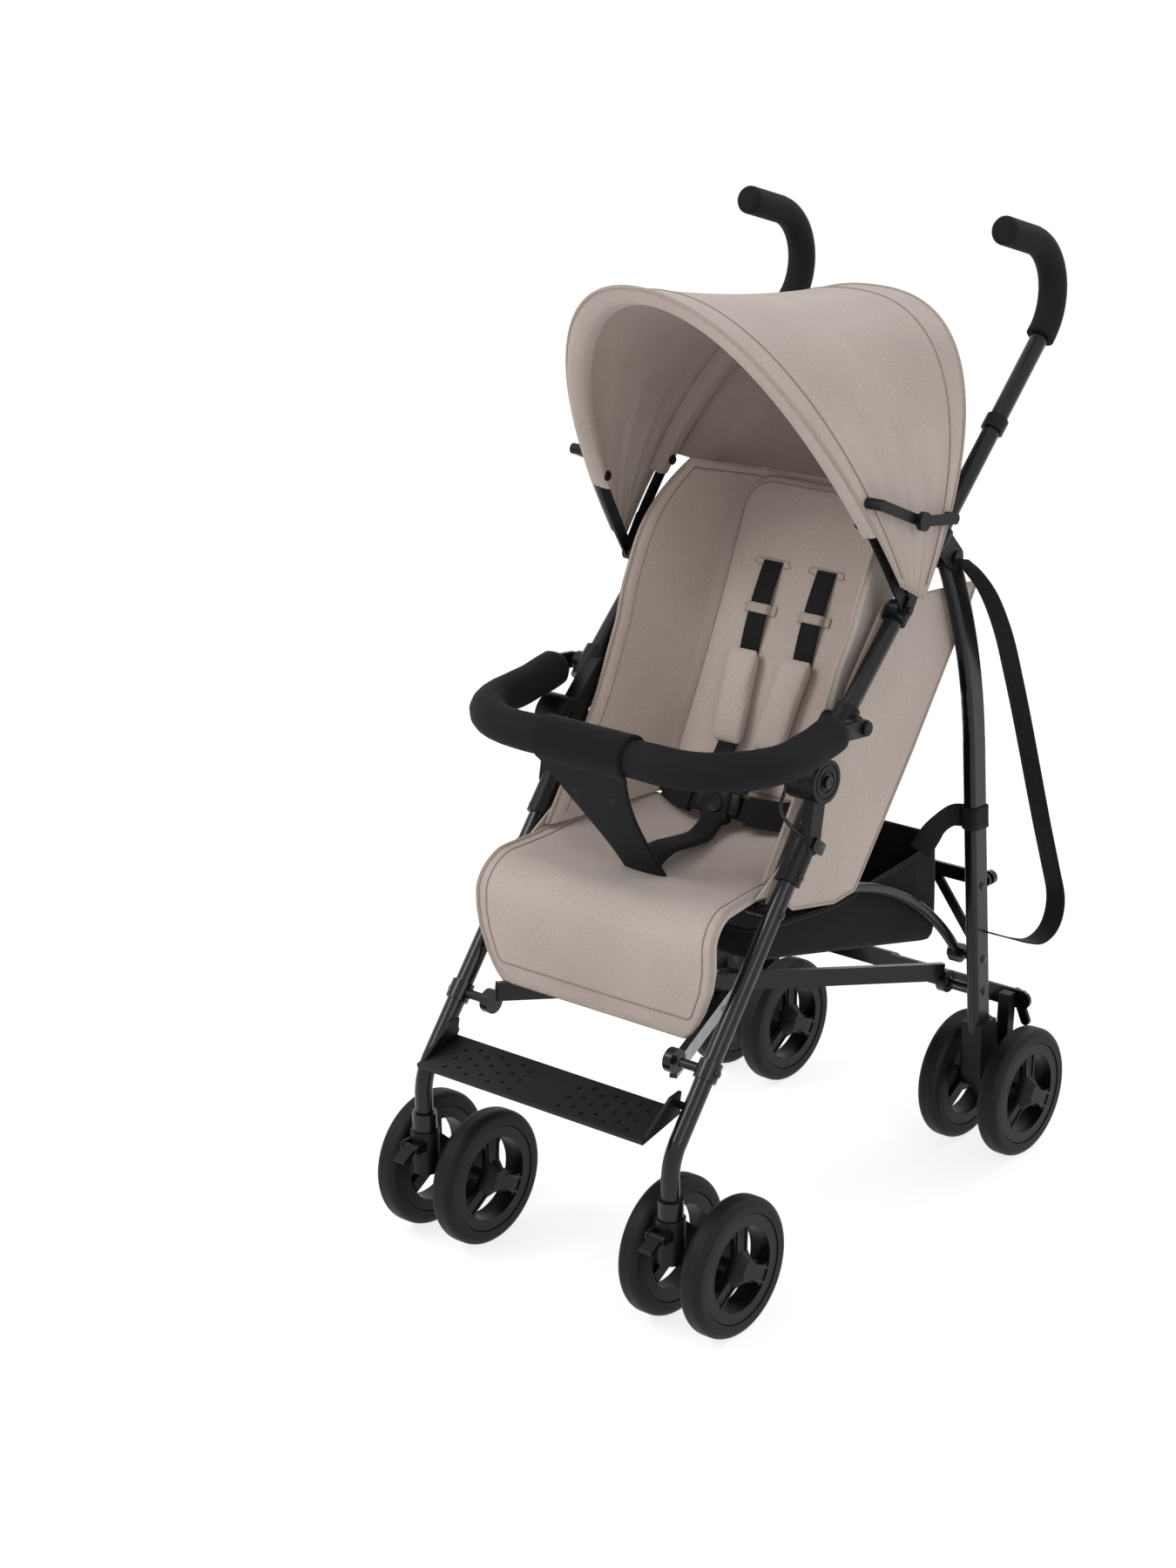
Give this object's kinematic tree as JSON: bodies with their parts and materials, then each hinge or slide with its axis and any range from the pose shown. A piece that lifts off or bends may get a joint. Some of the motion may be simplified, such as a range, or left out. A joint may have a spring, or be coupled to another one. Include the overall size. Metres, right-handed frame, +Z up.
{
  "type": "umbrella stroller",
  "caption": "Folding umbrella stroller with hook handles, swivel front wheels, padded fabric seat, canopy, bumper bar, footrest and basket.",
  "frame": {"origin": "on the floor, midway between the left and right wheels and between the front and rear axles", "axes": "+Z up, -Y the way the stroller faces, +X the left of a child sitting in it"},
  "size_m": [0.458, 0.7268, 1.0696],
  "materials": {
    "frame_paint": "satin black powder coat",
    "black_plastic": "moulded, lightly textured",
    "foam": "closed-cell foam sleeve",
    "steel": "zinc plated",
    "tyre": "moulded EVA, satin",
    "seat_fabric": "taupe woven polyester",
    "black_fabric": "black woven polyester",
    "webbing": "black ribbed webbing"
  },
  "bodies": {
    "rear_frame_right": {"rear_leg_right": "frame_paint", "rear_hub_right": "black_plastic", "rear_axle_right": "steel"},
    "handle_right": {"handle_tube_right": "frame_paint", "grip_right": "foam", "handle_brackets_right": "black_plastic", "upper_hinge_right": "black_plastic", "canopy_rear_bow": "black_plastic", "canopy_back": "seat_fabric"},
    "front_leg_right": {"front_leg_right": "frame_paint", "lower_hinge_right": "black_plastic", "footrest": "black_plastic"},
    "caster_right": {"caster_fork_right": "black_plastic", "front_axle_right": "steel"},
    "front_wheels_right": {"front_rims_right": "black_plastic", "front_tyres_right": "tyre"},
    "rear_wheels_right": {"rear_rims_right": "black_plastic", "rear_tyres_right": "tyre"},
    "swivel_lock_right": {"swivel_lock_right": "black_plastic"},
    "seat_rail_right": {"seat_rail_right": "frame_paint", "seat_base": "seat_fabric", "buckle": "black_plastic", "basket": "black_fabric"},
    "cross_bar_right": {"cross_bar_right": "frame_paint"},
    "brace_link_right": {"brace_link_right": "frame_paint"},
    "brake_lever_right": {"brake_lever_right": "black_plastic"},
    "brake_bar_right": {"brake_bar_right": "frame_paint"},
    "rear_frame_left": {"rear_leg_left": "frame_paint", "rear_hub_left": "black_plastic", "rear_axle_left": "steel", "carry_strap": "webbing"},
    "handle_left": {"handle_tube_left": "frame_paint", "grip_left": "foam", "handle_brackets_left": "black_plastic", "upper_hinge_left": "black_plastic"},
    "front_leg_left": {"front_leg_left": "frame_paint", "lower_hinge_left": "black_plastic"},
    "caster_left": {"caster_fork_left": "black_plastic", "front_axle_left": "steel"},
    "front_wheels_left": {"front_rims_left": "black_plastic", "front_tyres_left": "tyre"},
    "rear_wheels_left": {"rear_rims_left": "black_plastic", "rear_tyres_left": "tyre"},
    "swivel_lock_left": {"swivel_lock_left": "black_plastic"},
    "seat_rail_left": {"seat_rail_left": "frame_paint"},
    "cross_bar_left": {"cross_bar_left": "frame_paint"},
    "brace_link_left": {"brace_link_left": "frame_paint"},
    "brake_lever_left": {"brake_lever_left": "black_plastic"},
    "brake_bar_left": {"brake_bar_left": "frame_paint"},
    "fold_lock_pedal": {"fold_lock_pedal": "black_plastic"},
    "bumper": {"bumper_bar": "foam", "crotch_panel": "black_fabric"},
    "canopy_front": {"canopy_front_bow": "black_plastic", "canopy_hood": "seat_fabric"},
    "canopy_stays_front": {"canopy_stays_front": "black_plastic"},
    "canopy_stays_rear": {"canopy_stays_rear": "black_plastic"},
    "backrest": {"seat_back": "seat_fabric", "harness": "webbing"},
    "buckle_button": {"buckle_button": "black_plastic"}
  },
  "joints": [
    {"name": "fold", "type": "hinge", "parent": "rear_frame_right", "child": "handle_right", "pos_m": [-0.168, 0.15393, 0.72244], "axis": [1, 0, 0], "range_deg": [0, 52.5], "deforming": ["seat_back", "seat_base", "harness", "buckle", "basket", "canopy_front_bow", "canopy_rear_bow", "canopy_hood", "canopy_back", "canopy_stays_front", "canopy_stays_rear", "footrest", "bumper_bar", "crotch_panel", "buckle_button", "carry_strap"]},
    {"name": "side_close", "type": "slide", "parent": "rear_frame_right", "child": "rear_frame_left", "axis": [-1, 0, 0], "range_m": [0, 0.17433]},
    {"name": "fold_left", "type": "hinge", "parent": "rear_frame_left", "child": "handle_left", "pos_m": [0.168, 0.15393, 0.72244], "axis": [1, 0, 0], "range_deg": [0, 52.51]},
    {"name": "front_leg_fold_right", "type": "hinge", "parent": "handle_right", "child": "front_leg_right", "pos_m": [-0.168, -0.084, 0.54], "axis": [-1, 0, 0], "range_deg": [0, 187.01]},
    {"name": "seat_rail_fold_right", "type": "hinge", "parent": "rear_frame_right", "child": "seat_rail_right", "pos_m": [-0.141, 0.23271, 0.24], "axis": [-1, 0, 0], "range_deg": [0, 43.47]},
    {"name": "cross_bar_fold_right", "type": "hinge", "parent": "rear_frame_right", "child": "cross_bar_right", "pos_m": [-0.124, 0.23551, 0.2], "axis": [-0.9559, -0.1947, -0.2198], "range_deg": [0, 67.9]},
    {"name": "brace_fold_right", "type": "hinge", "parent": "rear_frame_right", "child": "brace_link_right", "pos_m": [-0.168, 0.24542, 0.33], "axis": [0, -1, 0], "range_deg": [0, 61.25]},
    {"name": "brake_right", "type": "hinge", "parent": "rear_frame_right", "child": "brake_lever_right", "pos_m": [-0.168, 0.2925, 0.105], "axis": [-1, 0, 0], "range_deg": [0, 18]},
    {"name": "brake_bar_fold_right", "type": "hinge", "parent": "brake_lever_right", "child": "brake_bar_right", "pos_m": [-0.168, 0.3115, 0.166], "axis": [0, -1, 0], "range_deg": [0, 61.25]},
    {"name": "caster_swivel_right", "type": "hinge", "parent": "front_leg_right", "child": "caster_right", "pos_m": [-0.168, -0.3175, 0.115], "axis": [0, 0, 1], "continuous": true},
    {"name": "front_wheel_spin_right", "type": "hinge", "parent": "caster_right", "child": "front_wheels_right", "pos_m": [-0.168, -0.2675, 0.075], "axis": [1, 0, 0], "continuous": true},
    {"name": "rear_wheel_spin_right", "type": "hinge", "parent": "rear_frame_right", "child": "rear_wheels_right", "pos_m": [-0.168, 0.2675, 0.075], "axis": [1, 0, 0], "continuous": true},
    {"name": "swivel_lock_right", "type": "hinge", "parent": "caster_right", "child": "swivel_lock_right", "pos_m": [-0.168, -0.3395, 0.124], "axis": [-1, 0, 0], "range_deg": [0, 25]},
    {"name": "front_leg_fold_left", "type": "hinge", "parent": "handle_left", "child": "front_leg_left", "pos_m": [0.168, -0.084, 0.54], "axis": [-1, 0, 0], "range_deg": [0, 187.01]},
    {"name": "seat_rail_fold_left", "type": "hinge", "parent": "rear_frame_left", "child": "seat_rail_left", "pos_m": [0.141, 0.23271, 0.24], "axis": [-1, 0, 0], "range_deg": [0, 43.47]},
    {"name": "cross_bar_fold_left", "type": "hinge", "parent": "rear_frame_left", "child": "cross_bar_left", "pos_m": [0.124, 0.23551, 0.2], "axis": [-0.9559, 0.1947, 0.2198], "range_deg": [0, 67.9]},
    {"name": "brace_fold_left", "type": "hinge", "parent": "rear_frame_left", "child": "brace_link_left", "pos_m": [0.168, 0.24542, 0.33], "axis": [0, 1, 0], "range_deg": [0, 61.25]},
    {"name": "brake_left", "type": "hinge", "parent": "rear_frame_left", "child": "brake_lever_left", "pos_m": [0.168, 0.2925, 0.105], "axis": [-1, 0, 0], "range_deg": [0, 18.01]},
    {"name": "brake_bar_fold_left", "type": "hinge", "parent": "brake_lever_left", "child": "brake_bar_left", "pos_m": [0.168, 0.3115, 0.166], "axis": [0, 1, 0], "range_deg": [0, 61.25]},
    {"name": "caster_swivel_left", "type": "hinge", "parent": "front_leg_left", "child": "caster_left", "pos_m": [0.168, -0.3175, 0.115], "axis": [0, 0, 1], "continuous": true},
    {"name": "front_wheel_spin_left", "type": "hinge", "parent": "caster_left", "child": "front_wheels_left", "pos_m": [0.168, -0.2675, 0.075], "axis": [1, 0, 0], "continuous": true},
    {"name": "rear_wheel_spin_left", "type": "hinge", "parent": "rear_frame_left", "child": "rear_wheels_left", "pos_m": [0.168, 0.2675, 0.075], "axis": [1, 0, 0], "continuous": true},
    {"name": "swivel_lock_left", "type": "hinge", "parent": "caster_left", "child": "swivel_lock_left", "pos_m": [0.168, -0.3395, 0.124], "axis": [-1, 0, 0], "range_deg": [0, 25]},
    {"name": "bumper_fold", "type": "hinge", "parent": "handle_right", "child": "bumper", "pos_m": [-0.168, -0.03281, 0.58631], "axis": [-1, 0, 0], "range_deg": [0, 91.01]},
    {"name": "fold_lock", "type": "hinge", "parent": "brace_link_right", "child": "fold_lock_pedal", "pos_m": [0, 0.26042, 0.313], "axis": [-1, 0, 0], "range_deg": [0, 30], "stiffness_Nm_per_rad": 0.4},
    {"name": "canopy", "type": "hinge", "parent": "handle_right", "child": "canopy_front", "pos_m": [-0.185, 0.05352, 0.68989], "axis": [-1, 0, 0], "range_deg": [0, 38]},
    {"name": "canopy_stay_rear", "type": "hinge", "parent": "handle_right", "child": "canopy_stays_rear", "pos_m": [-0.202, 0.10916, 0.77893], "axis": [1, 0, 0], "range_deg": [0, 22.49]},
    {"name": "canopy_stay_front", "type": "hinge", "parent": "canopy_front", "child": "canopy_stays_front", "pos_m": [-0.198, -0.01567, 0.81732], "axis": [-1, 0, 0], "range_deg": [0, 49.1]},
    {"name": "recline", "type": "hinge", "parent": "handle_right", "child": "backrest", "pos_m": [0, 0.015, 0.44], "axis": [-1, 0, 0], "range_deg": [0, 30]},
    {"name": "buckle_press", "type": "slide", "parent": "seat_rail_right", "child": "buckle_button", "axis": [0, 0.9397, -0.342], "range_m": [0, 0.0025], "stiffness_N_per_m": 300}
  ],
  "couplings": [
    {"joint": "side_close", "follows": "fold", "m_per_rad": 0.19026},
    {"joint": "fold_left", "follows": "fold", "ratio": 1},
    {"joint": "front_leg_fold_right", "follows": "fold", "ratio": 3.5619},
    {"joint": "seat_rail_fold_right", "follows": "fold", "ratio": 0.82781},
    {"joint": "cross_bar_fold_right", "follows": "fold", "ratio": 1.2931},
    {"joint": "brace_fold_right", "follows": "fold", "ratio": 1.1665},
    {"joint": "brake_bar_fold_right", "follows": "fold", "ratio": 1.1665},
    {"joint": "front_leg_fold_left", "follows": "fold", "ratio": 3.5619},
    {"joint": "seat_rail_fold_left", "follows": "fold", "ratio": 0.82781},
    {"joint": "cross_bar_fold_left", "follows": "fold", "ratio": 1.2931},
    {"joint": "brace_fold_left", "follows": "fold", "ratio": 1.1665},
    {"joint": "brake_bar_fold_left", "follows": "fold", "ratio": 1.1665},
    {"joint": "brake_left", "follows": "brake_right", "ratio": 1},
    {"joint": "bumper_fold", "follows": "fold", "ratio": 1.7333},
    {"joint": "canopy_stay_rear", "follows": "canopy", "ratio": 0.59167},
    {"joint": "canopy_stay_front", "follows": "canopy", "ratio": 1.2918}
  ]
}
